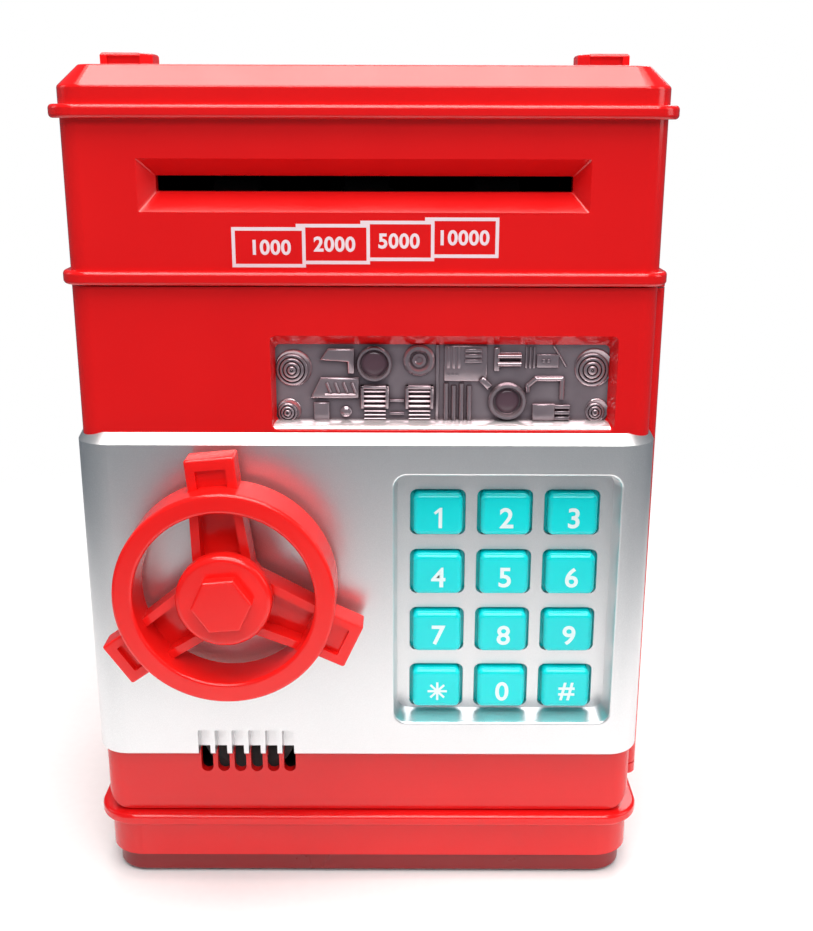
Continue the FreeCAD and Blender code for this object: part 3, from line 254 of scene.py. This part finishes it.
RED, RED_DEEP = (0.74, 0.008, 0.008), (0.68, 0.006, 0.007)
WHEEL, WHEEL_DEEP = (0.86, 0.013, 0.010), (0.80, 0.010, 0.009)
KEY, KEY_DEEP = (0.0, 0.76, 0.77), (0.0, 0.68, 0.70)
MILKY = (1, 1, 1)
materials = {
    "red_shell": moulded("red_shell", RED, RED_DEEP, 0.13, 0.08),
    # dark_red_cover: a dull dark red plastic, its colour darkened further as painted shade for the shadow
    # under the base's overhang
    "dark_red_cover": moulded("dark_red_cover", (0.27, 0.006, 0.008), (0.21, 0.005, 0.006), 0.30),
    "wheel_red": moulded("wheel_red", WHEEL, WHEEL_DEEP, 0.17, 0.30, grain=0.02),
    "silver_paint": silver_paint(),
    "window_relief": chromed_relief(),
    "key_teal": moulded("key_teal", KEY, KEY_DEEP, 0.16, 0.15, (0.2, 1.0, 1.0), 0.015),
    "membrane_silicone": moulded("membrane_silicone", (0.55, 0.57, 0.58), (0.48, 0.50, 0.51), 0.5, 0.2,
                                 MILKY),
    "board_green": circuit_board(),
    "lamp_clear": moulded("lamp_clear", (0.85, 0.88, 0.92), (0.8, 0.84, 0.9), 0.08, 0.4, MILKY),
    "inner_plastic": moulded("inner_plastic", (0.035, 0.034, 0.036), (0.026, 0.025, 0.027), 0.36, grain=0.08),
    "white_nylon": moulded("white_nylon", (0.80, 0.78, 0.72), (0.74, 0.72, 0.66), 0.42, 0.2, MILKY),
    "steel": metal("steel", (0.62, 0.61, 0.60), 0.28),
    "screw_steel": metal("screw_steel", (0.56, 0.55, 0.53), 0.32, (1, 1, 1)),
    "motor_can": metal("motor_can", (0.60, 0.61, 0.63), 0.34, (40, 1, 1)),
    "roller_rubber": moulded("roller_rubber", (0.03, 0.03, 0.03), (0.02, 0.02, 0.02), 0.75, grain=0.3),
    "foot_rubber": moulded("foot_rubber", (0.04, 0.04, 0.04), (0.03, 0.03, 0.03), 0.8, grain=0.3),
    "battery_jacket": battery_jacket(),
    "copper_coil": wound_wire(),
    "speaker_black": moulded("speaker_black", (0.03, 0.03, 0.03), (0.02, 0.02, 0.02), 0.6, grain=0.2),
    "switch_black": moulded("switch_black", (0.03, 0.03, 0.03), (0.02, 0.02, 0.02), 0.35),
}
print_white = moulded("print_white", (0.86, 0.70, 0.74), (0.78, 0.62, 0.66), 0.35, grain=0.06)
dark_lens = moulded("dark_lens", (0.13, 0.075, 0.095), (0.10, 0.055, 0.07), 0.12, grain=0.01)
bright_edge = metal("bright_edge", (0.95, 0.90, 0.90), 0.22, (1, 1, 1), 0.02, 0.7)
key_print = moulded("key_print", (0.80, 0.92, 0.91), (0.72, 0.88, 0.87), 0.30, grain=0.06)


def paint_frame():
    """Gives every CAD node the material of its slot."""
    for part in frame["record"]["subparts"]:
        mesh_object = nodes[part["node"]]
        mesh_object.data.materials.clear()
        mesh_object.data.materials.append(materials[part["material_slot"]])


paint_frame()

# ---- built pieces --------------------------------------------------------------------------

print_thick = 0.03          # how far ink stands off the plastic, and reaches into it, in mm


def finish_piece(name, shape, material, body, sharp=35.0):
    """Turns a bmesh into a piece that rides on a body, smooth-shaded up to the sharp angle."""
    bmesh.ops.remove_doubles(shape, verts=shape.verts, dist=1e-7)
    bmesh.ops.recalc_face_normals(shape, faces=shape.faces)
    mesh = bpy.data.meshes.new(name)
    shape.to_mesh(mesh)
    shape.free()
    mesh.shade_smooth()
    mesh.set_sharp_from_angle(angle=math.radians(sharp))
    mesh.materials.append(material)
    piece = bpy.data.objects.new(name, mesh)
    bpy.context.scene.collection.objects.link(piece)
    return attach(piece, body)


def join(target, part):
    """Copies one bmesh into another."""
    mesh = bpy.data.meshes.new("part")
    part.to_mesh(mesh)
    part.free()
    target.from_mesh(mesh)
    bpy.data.meshes.remove(mesh)


def prism(target, outline, back, front, edge=0.0, rows=2):
    """A plate with the given (x, z) outline in mm, from y = back to y = front, its front edges rounded."""
    part = bmesh.new()
    base = part.faces.new([part.verts.new((x * MM, back * MM, z * MM)) for x, z in outline])
    made = bmesh.ops.extrude_face_region(part, geom=[base])["geom"]
    moved = [v for v in made if isinstance(v, bmesh.types.BMVert)]
    bmesh.ops.translate(part, verts=moved, vec=(0, (front - back) * MM, 0))
    if edge:
        rim = [e for e in part.edges if all(v in moved for v in e.verts)]
        bmesh.ops.bevel(part, geom=rim, offset=edge * MM, segments=rows, profile=0.5, affect="EDGES")
    bmesh.ops.recalc_face_normals(part, faces=part.faces)
    join(target, part)


def block(target, x, z, back, front, edge=0.22):
    """A rounded rectangular plate over the ranges x and z, from y = back to y = front, in mm."""
    prism(target, [(x[0], z[0]), (x[1], z[0]), (x[1], z[1]), (x[0], z[1])], back, front, edge)


def band(target, path, width, back, front, closed=False):
    """A flat strip of even width along a path of (x, z) points in mm, with mitred corners."""
    points = [Vector(p) for p in path]
    count = len(points)
    edges = []
    for i, point in enumerate(points):
        runs = []
        if closed or i > 0:
            runs.append((point - points[i - 1]).normalized())
        if closed or i < count - 1:
            runs.append((points[(i + 1) % count] - point).normalized())
        normals = [Vector((-run.y, run.x)) for run in runs]
        mitre = (normals[0] + normals[-1]).normalized()
        reach = mitre * (width / 2 / mitre.dot(normals[0]))
        edges.append((point + reach, point - reach))
    part = bmesh.new()
    pairs = [[part.verts.new((p.x * MM, back * MM, p.y * MM)) for p in pair] for pair in edges]
    spans = list(zip(pairs, pairs[1:])) + ([(pairs[-1], pairs[0])] if closed else [])
    faces = [part.faces.new((a[0], b[0], b[1], a[1])) for a, b in spans]
    made = bmesh.ops.extrude_face_region(part, geom=faces)["geom"]
    moved = [v for v in made if isinstance(v, bmesh.types.BMVert)]
    bmesh.ops.translate(part, verts=moved, vec=(0, (front - back) * MM, 0))
    bmesh.ops.recalc_face_normals(part, faces=part.faces)
    join(target, part)


def turned(target, x, z, profile, sides=44):
    """A body turned about an axis along Y; profile is (radius, y) in mm, from the outside inwards."""
    part = bmesh.new()
    rings = []
    for r, y in profile:
        if r == 0:
            rings.append([part.verts.new((x * MM, y * MM, z * MM))] * sides)
            continue
        rings.append([part.verts.new(((x + r * math.cos(math.tau * k / sides)) * MM, y * MM,
                                      (z + r * math.sin(math.tau * k / sides)) * MM)) for k in range(sides)])
    for outer, inner in zip(rings, rings[1:]):
        for k in range(sides):
            after = (k + 1) % sides
            corners = list(dict.fromkeys((outer[k], outer[after], inner[after], inner[k])))
            if len(corners) > 2:
                part.faces.new(corners)
    if profile[0][0]:
        part.faces.new(rings[0])
    join(target, part)


def half_round(target, start, end, width, back, height, sides=8):
    """A bar with an arched section between two (x, z) points, standing height mm off y = back."""
    part = bmesh.new()
    along = Vector((end[0] - start[0], 0, end[1] - start[1])).normalized()
    across = Vector((along.z, 0, -along.x))
    arch = []
    for k in range(sides + 1):
        t = math.pi * k / sides
        arch.append(across * (width / 2 * math.cos(t)) + Vector((0, -height * math.sin(t), 0)))
    rings = [[part.verts.new((Vector((p[0], back, p[1])) + a) * MM) for a in arch] for p in (start, end)]
    for k in range(sides):
        part.faces.new((rings[0][k], rings[0][k + 1], rings[1][k + 1], rings[1][k]))
    part.faces.new(rings[0])
    part.faces.new(rings[1])
    part.faces.new((rings[0][0], rings[0][sides], rings[1][sides], rings[1][0]))
    join(target, part)


def ring_target(target, x, z, r, back, steps):
    """Concentric rounded rings climbing to the middle, like a stepped boss."""
    first_rise, rise, groove = 0.35, 0.28, 0.30
    profile = [(r + 0.25, back + 0.3), (r + 0.1, back)]
    width = r / steps
    for k in range(steps):
        outer = r - k * width
        y = back - first_rise - rise * k
        profile += [(outer, y + 0.12), (outer - width * 0.22, y), (outer - width * 0.62, y),
                    (outer - width * 0.80, y + groove)]
    profile += [(0.0, back - groove - rise * steps)]
    turned(target, x, z, profile)


def dial(target, x, z, r, rim, back, height, button=0.0):
    """A round rim with a flat sunk face and, if asked, a small button in its middle."""
    dish = back - 0.15                                      # the sunk face beside the rim
    profile = [(r, back + 0.3), (r, back - height * 0.45), (r - rim * 0.3, back - height),
               (r - rim * 0.75, back - height), (r - rim, back - height * 0.5), (r - rim * 1.15, dish)]
    if button:
        profile += [(button * 1.25, dish), (button * 1.1, back - height * 0.75),
                    (button * 0.7, back - height * 0.8), (button * 0.45, back - height * 0.4)]
    profile += [(0.0, back - (height * 0.4 if button else 0.25))]
    turned(target, x, z, profile)


def dial_glass(target, x, z, r, face):
    """A low dark lens in the middle of a dial."""
    seat, crown = face - 0.2, 0.5
    profile = [(r * math.cos(t), seat - crown * math.sin(t)) for t in (0, 0.35, 0.75, 1.15)]
    turned(target, x, z, profile + [(0.0, seat - crown)])


def louvre(target, x, z, back, count):
    """A square frame, open below, around level slats."""
    width, tall = 0.75, 1.35
    block(target, (x[0], x[0] + width), z, back + 0.3, back - tall)
    block(target, (x[1] - width, x[1]), z, back + 0.3, back - tall)
    block(target, x, (z[1] - width, z[1]), back + 0.3, back - tall)
    pitch = (z[1] - z[0] - width) / count
    for k in range(count):
        level = z[0] + pitch * (k + 0.45)
        half_round(target, (x[0] + width, level), (x[1] - width, level), pitch * 0.78, back, 0.85)


def insert_lip(x0, x1, z, face):
    """The insert's bright rolled lower lip, lying on the window's sill with mitred ends."""
    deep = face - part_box("door_panel")[0].y / MM - 0.3
    rise, drop, steps = 1.45, 1.15, 10
    end_inset, end_taper, foot_inset = 1.45, 0.6, 2.1
    shape = bmesh.new()
    rows = []
    for k in range(steps + 1):
        t = math.pi / 2 * k / steps
        y = face - deep * math.cos(t)
        level = z - drop + rise * math.sin(t)
        inset = end_inset + end_taper * (1 - math.cos(t))
        rows.append([shape.verts.new((x * MM, y * MM, level * MM)) for x in (x0 + inset, x1 - inset)])
    foot_ends = (x0 + foot_inset, x1 - foot_inset)
    rows.append([shape.verts.new((x * MM, (face + 0.1) * MM, (z - 0.1) * MM)) for x in foot_ends])
    for a, b in zip(rows, rows[1:] + rows[:1]):
        shape.faces.new((a[0], a[1], b[1], b[0]))
    for side in (0, 1):
        shape.faces.new([row[side] for row in rows])
    finish_piece("window_lip", shape, bright_edge, "door", 50.0)


def relief_targets(shape, left, right, bottom, top, face):
    """The four stepped bosses in the window's corners, each with a low collar showing at its upper right."""
    for x, z, r, steps in ((left + 3.7, top - 5.9, 3.6, 4), (right - 3.8, top - 5.7, 3.8, 4),
                           (left + 2.5, bottom + 1.9, 2.2, 3), (right - 2.7, bottom + 2.2, 2.1, 3)):
        collar = [(r + 0.6, face + 0.3), (r + 0.6, face - 0.15), (r + 0.45, face - 0.3),
                  (r + 0.2, face - 0.1), (0.0, face - 0.1)]
        turned(shape, x + 0.4, z + 0.5, collar)
        ring_target(shape, x, z, r, face - 0.1, steps)


def relief_dials(shape, left, bottom, top, face):
    """Three round instruments, two of them with a dark lens of their own piece."""
    lenses = bmesh.new()
    dial_glass(lenses, left + 22.4, top - 4.4, 2.9, face)
    dial_glass(lenses, left + 52.8, bottom + 4.8, 2.7, face)
    finish_piece("window_dial_glass", lenses, dark_lens, "door")
    dial(shape, left + 22.4, top - 4.4, 4.1, 0.95, face, 1.5)
    dial(shape, left + 32.6, top - 3.6, 3.6, 1.5, face, 0.8, 1.4)
    dial(shape, left + 52.8, bottom + 4.8, 4.4, 1.25, face, 1.8)


def relief_left(shape, left, bottom, top, root, face):
    """Ledge, ribbed hood, small boss, vents and their links, left of the middle wall."""
    ledge = [(left + 10.1, top - 3.5), (left + 12.0, top - 0.9), (left + 17.9, top - 0.9),
             (left + 17.9, top - 6.6), (left + 16.4, top - 6.6), (left + 16.4, top - 3.9)]
    prism(shape, ledge, root, face - 1.2, 0.3)
    hood = [(left + 7.9, bottom + 5.5), (left + 10.2, bottom + 10.2), (left + 18.9, bottom + 10.2),
            (left + 18.9, bottom + 5.5)]
    prism(shape, hood, root, face - 1.1, 0.3)
    for k in range(4):
        x = left + 11.6 + 1.9 * k
        half_round(shape, (x, bottom + 9.2), (x + 0.9, bottom + 6.9), 0.8, face - 1.0, 0.6)
    half_round(shape, (left + 11.2, bottom + 6.4), (left + 18.2, bottom + 6.4), 0.7, face - 1.0, 0.55)
    block(shape, (left + 8.6, left + 12.1), (bottom + 0.2, bottom + 4.4), root, face - 0.9, 0.2)
    boss = [(1.3, root), (1.3, face - 0.4), (0.9, face - 0.8), (0, face - 0.95)]
    turned(shape, left + 15.9, bottom + 2.2, boss)
    for x in (left + 19.3, left + 29.5):
        louvre(shape, (x, x + 6.4), (bottom + 3.1, bottom + 8.4), face, 4)
        for k in range(3):
            level = bottom + 0.6 + 0.9 * k
            half_round(shape, (x + 0.8, level), (x + 5.7, level), 0.55, face, 0.6)
    for z in (bottom + 1.6, bottom + 4.6):
        block(shape, (left + 25.9, left + 29.2), (z, z + 0.5), root, face - 0.8, 0.1)


def relief_middle(shape, left, bottom, top, root, face):
    """Middle wall, switch plate with its tabs and dots, upright ribs and the elbow of the big dial."""
    block(shape, (left + 36.4, left + 37.1), (bottom, top), root, face - 0.5, 0.15)
    block(shape, (left + 38.3, left + 48.0), (bottom + 9.4, top - 0.2), root, face - 0.5, 0.2)
    dot = [(0.32, face), (0.32, face - 0.6), (0.0, face - 0.7)]
    for k in range(3):
        rib_x, tab_z = left + 38.9 + 1.2 * k, top - 1.6 - 1.2 * k
        block(shape, (rib_x, rib_x + 0.7), (top - 5.4, top - 0.5), face, face - 0.6, 0.1)
        block(shape, (left + 43.0, left + 46.8), (tab_z, tab_z + 0.7), face, face - 0.95, 0.1)
        turned(shape, left + 39.2 + 1.0 * k, bottom + 11.0, dot, 16)
    for k in range(4):
        x = left + 38.8 + 1.75 * k
        half_round(shape, (x, bottom + 0.1), (x, bottom + 8.9 - 0.5 * (k % 2)), 1.25, face, 0.9)
    elbow = [(left + 46.2, bottom + 9.6), (left + 48.2, bottom + 7.6), (left + 49.2, bottom + 8.6),
             (left + 47.2, bottom + 10.6)]
    prism(shape, elbow, root, face - 1.3, 0.3)


def relief_right(shape, left, bottom, top, root, face):
    """Cylinder pair, comb, small case, stay, bent pipe and the plug with three prongs."""
    block(shape, (left + 49.6, left + 50.8), (top - 6.0, top - 0.6), root, face - 0.9, 0.2)
    for z in (top - 2.5, top - 4.3):
        half_round(shape, (left + 50.4, z), (left + 55.7, z), 1.5, face, 1.3)
    for k in range(3):
        x = left + 56.7 + 0.9 * k
        block(shape, (x, x + 0.4), (top - 5.4, top - 0.4), root, face - 0.35, 0.05)
    block(shape, (left + 59.3, left + 64.2), (top - 5.2, top - 2.2), root, face - 0.5, 0.1)
    for k in range(2):
        x = left + 60.5 + 1.1 * k
        block(shape, (x, x + 0.6), (top - 4.0, top - 3.2), face, face - 0.8, 0.05)
    half_round(shape, (left + 63.0, top - 0.2), (left + 66.0, top - 5.0), 0.5, face, 0.45)
    pipe = [(left + 57.4, bottom + 7.0), (left + 57.4, bottom + 8.4), (left + 59.2, bottom + 10.0),
            (left + 65.2, bottom + 10.0), (left + 65.2, bottom + 5.3)]
    for a, b in zip(pipe, pipe[1:]):
        half_round(shape, a, b, 1.3, face, 1.0)
    knuckle = [(0.65, face + 0.1), (0.65, face - 0.35), (0.45, face - 0.8), (0.0, face - 1.0)]
    for x, z in pipe[1:-1]:
        turned(shape, x, z, knuckle, 24)
    block(shape, (left + 58.6, left + 63.6), (bottom + 0.4, bottom + 4.2), root, face - 1.3, 0.2)
    for k in range(3):
        z = bottom + 0.5 + 1.35 * k
        block(shape, (left + 63.6, left + 67.1), (z, z + 0.75), root, face - 1.1, 0.12)


def relief_panel():
    """The chromed panel of pretend machinery in the door's window."""
    low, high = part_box("window_panel")
    back_y = high.y / MM
    relief_tall, hidden_rim, sunk = 1.9, 2.0, 0.3
    face = low.y / MM + relief_tall                         # the plate's face, behind its tallest boss
    root = face + sunk                                      # fittings start a little inside the plate
    x0, x1, z0, z1 = low.x / MM, high.x / MM, low.z / MM, high.z / MM
    left, right = x0 + hidden_rim, x1 - hidden_rim          # what the window shows
    bottom, top = z0 + hidden_rim, z1 - hidden_rim
    shape = bmesh.new()
    block(shape, (x0, x1), (z0, z1), back_y, face, 0.0)
    relief_targets(shape, left, right, bottom, top, face)
    relief_dials(shape, left, bottom, top, face)
    relief_left(shape, left, bottom, top, root, face)
    relief_middle(shape, left, bottom, top, root, face)
    relief_right(shape, left, bottom, top, root, face)
    insert_lip(x0, x1, bottom, face)
    piece = finish_piece("window_machinery", shape, materials["window_relief"], "door", 40.0)
    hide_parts("window_panel")


def lettering(text, height, boldness=0.0, spacing=1.0):
    """A mesh of one line of figures, centred on the origin in the x-z plane, its height in mm."""
    curve = bpy.data.curves.new("lettering", "FONT")
    curve.body = text
    curve.align_x = "CENTER"
    curve.align_y = "CENTER"
    curve.extrude = print_thick
    curve.offset = boldness
    curve.space_character = spacing
    curve.resolution_u = 6
    holder = bpy.data.objects.new("lettering", curve)
    mesh = bpy.data.meshes.new_from_object(holder)
    bpy.data.objects.remove(holder)
    ys = [v.co.y for v in mesh.vertices]
    scale = height / (max(ys) - min(ys))
    middle = (max(ys) + min(ys)) / 2
    for v in mesh.vertices:
        v.co = Vector((v.co.x * scale, v.co.z, (v.co.y - middle) * scale))
    return mesh


def place_print(target, mesh, x, y, z):
    """Adds a lettering mesh at a point in mm."""
    mesh.transform(Matrix.Scale(MM, 4) @ Matrix.Translation((x, y, z)))
    target.from_mesh(mesh)
    bpy.data.meshes.remove(mesh)


def star_outline(x, z, arms, reach, width):
    """The outline of a star of straight arms, from the notch between two arms to the next."""
    notch = width / 2 / math.sin(math.pi / arms)
    corner = math.atan2(width / 2, reach)
    points = []
    for k in range(arms):
        t = math.tau * k / arms + math.pi / 2
        for angle, r in ((t - math.pi / arms, notch), (t - corner, math.hypot(reach, width / 2)),
                         (t + corner, math.hypot(reach, width / 2))):
            points.append((x + r * math.cos(angle), z + r * math.sin(angle)))
    return points


def key_legends():
    """White figures printed on the keys, a little below and right of the middle of each."""
    tall, hash_tall, bold, hash_bold = 5.0, 4.7, 0.018, 0.016
    arms, arm_reach, arm_width = 8, 2.35, 0.55
    right_of_middle, below_middle = 0.25, 0.7
    one = [(-1.25, 1.35), (0.15, 2.5), (0.7, 2.5), (0.7, -2.5), (-0.12, -2.5), (-0.12, 1.45), (-0.85, 0.85)]
    for name in ["1", "2", "3", "4", "5", "6", "7", "8", "9", "star", "0", "hash"]:
        low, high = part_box("key_" + name)
        x = (low.x + high.x) / 2 / MM + right_of_middle
        z = (low.z + high.z) / 2 / MM - below_middle
        y = low.y / MM
        shape = bmesh.new()
        if name == "star":
            star = star_outline(x, z, arms, arm_reach, arm_width)
            prism(shape, star, y + print_thick, y - print_thick)
        elif name == "1":
            prism(shape, [(x + a, z + b) for a, b in one], y + print_thick, y - print_thick)
        elif name == "hash":
            place_print(shape, lettering("#", hash_tall, hash_bold), x, y, z)
        else:
            place_print(shape, lettering(name, tall, bold), x, y, z)
        finish_piece("legend_" + name, shape, key_print, "key_" + name + "_cap")


def denomination_prints():
    """Four overlapping note outlines, each with its number, printed under the note slot."""
    wall_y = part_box("door_panel")[0].y / MM       # the door's face is in line with the wall above it
    width, tall, line = 15.3, 7.9, 0.75
    figure_tall, bold, spacing, right_of_middle = 3.3, 0.03, 1.06, 0.3
    step_x, step_z = 14.0, 0.72
    first_x, first_z = -20.8, 157.9
    for k, text in enumerate(("1000", "2000", "5000", "10000")):
        shape = bmesh.new()
        cx, cz = first_x + step_x * k, first_z + step_z * k
        x = (cx - width / 2, cx + width / 2)
        z = (cz - tall / 2, cz + tall / 2)
        if k:
            below = x[0] + width - step_x + line / 2             # the note before it hides its lower left
            path = [(x[0], z[1] - step_z + line / 2), (x[0], z[1]), (x[1], z[1]), (x[1], z[0]), (below, z[0])]
        else:
            path = [(x[0], z[0]), (x[0], z[1]), (x[1], z[1]), (x[1], z[0])]
        band(shape, path, line, wall_y + print_thick, wall_y - print_thick, closed=not k)
        place_print(shape, lettering(text, figure_tall, bold, spacing), cx + right_of_middle, wall_y, cz)
        finish_piece("print_" + text, shape, print_white, "housing")


relief_panel()
key_legends()
denomination_prints()

# ---- floor, light and camera ---------------------------------------------------------------


def floor():
    """A round sheet of pale paper under the object, fading out towards its edge."""
    radius, ring_count, side_count = 0.50, 6, 64
    level = -0.0001                                         # just under the feet, in metres
    fade_from, fade_to = 0.17, 0.36
    mesh = bpy.data.meshes.new("floor")
    shape = bmesh.new()
    rings = []
    for i in range(1, ring_count + 1):
        r = radius * i / ring_count
        rings.append([shape.verts.new((r * math.cos(math.tau * k / side_count),
                                       r * math.sin(math.tau * k / side_count), level))
                      for k in range(side_count)])
    shape.faces.new(rings[0])
    for inner, outer in zip(rings, rings[1:]):
        for k in range(side_count):
            after = (k + 1) % side_count
            shape.faces.new((inner[k], outer[k], outer[after], inner[after]))
    shape.to_mesh(mesh)
    sheet = bpy.data.objects.new("floor", mesh)
    bpy.context.scene.collection.objects.link(sheet)
    material, tree, shader = new_material("studio_paper")
    fibre = noise(tree, object_point(tree), scale=400.0, detail=3.0)
    paper = mix_colour(tree, fibre, (0.83, 0.83, 0.83), (0.87, 0.87, 0.87))
    tree.links.new(paper, shader.inputs["Base Color"])
    shader.inputs["Roughness"].default_value = 0.5
    distance = tree.nodes.new("ShaderNodeVectorMath")
    distance.operation = "LENGTH"
    tree.links.new(object_point(tree), distance.inputs[0])
    fade = ramp(tree, distance.outputs["Value"], fade_from, fade_to, 1.0, 0.0)
    tree.links.new(fade, shader.inputs["Alpha"])
    mesh.materials.append(material)


def area_light(name, place, aim, size, power, colour=(1, 1, 1)):
    """A rectangular soft light at a place in metres, aimed at a point; its power in watts."""
    data = bpy.data.lights.new(name, "AREA")
    data.shape = "RECTANGLE"
    data.size, data.size_y = size
    data.energy = power
    data.color = colour
    lamp = bpy.data.objects.new(name, data)
    lamp.location = place
    lamp.rotation_euler = (Vector(aim) - Vector(place)).to_track_quat("-Z", "Y").to_euler()
    bpy.context.scene.collection.objects.link(lamp)


def studio():
    """Soft boxes above and at the sides; the world is white to look at and dim in reflections."""
    scene = bpy.context.scene
    scene.view_settings.view_transform = "Standard"
    world = bpy.data.worlds.new("studio")
    scene.world = world
    world.use_nodes = True
    tree = world.node_tree
    seen = tree.nodes.new("ShaderNodeBackground")
    seen.inputs["Color"].default_value = (1.0, 1.0, 1.0, 1.0)
    rays = tree.nodes.new("ShaderNodeLightPath")
    pick = tree.nodes.new("ShaderNodeMixShader")
    dim = tree.nodes["Background"]
    dim.inputs["Color"].default_value = (0.72, 0.86, 1.0, 1.0)      # what reflections and shade see
    dim.inputs["Strength"].default_value = 0.16
    tree.links.new(rays.outputs["Is Camera Ray"], pick.inputs[0])
    tree.links.new(dim.outputs[0], pick.inputs[1])
    tree.links.new(seen.outputs[0], pick.inputs[2])
    tree.links.new(pick.outputs[0], tree.nodes["World Output"].inputs[0])
    area_light("top", (0.0, -0.20, 0.74), (0, -0.08, 0.0), (0.60, 0.40), 6.0, (1.0, 0.97, 0.93))
    area_light("crown", (0.0, 0.12, 0.80), (0, 0.02, 0.1), (0.7, 0.3), 1.5, (1.0, 0.92, 0.85))
    area_light("front_top", (0.10, -0.85, 0.80), (0, 0, 0.08), (0.9, 0.4), 6.2)
    area_light("right", (0.85, -0.20, 0.45), (0, 0, 0.1), (0.4, 0.6), 1.6)
    area_light("left", (-0.85, 0.05, 0.45), (0, 0, 0.1), (0.3, 0.5), 0.5)
    area_light("behind", (0.1, 0.75, 0.7), (0, 0, 0.1), (0.8, 0.5), 4.6)


def camera():
    """The photograph's view: a little above the middle, looking slightly down at the front."""
    fascia_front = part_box("fascia")[0].y
    lens_to_fascia, eye_x, eye_z = 0.2575, 0.0091, 0.1852
    pitch_down, roll = 16.4, -0.15                 # degrees
    data = bpy.data.cameras.new("camera")
    data.sensor_width = 36.0
    data.lens = 45.8
    data.clip_start = 0.01
    eye = bpy.data.objects.new("camera", data)
    eye.location = (eye_x, fascia_front - lens_to_fascia, eye_z)
    eye.rotation_euler = (math.radians(90 - pitch_down), math.radians(roll), 0.0)
    bpy.context.scene.collection.objects.link(eye)
    bpy.context.scene.camera = eye


floor()
studio()
camera()
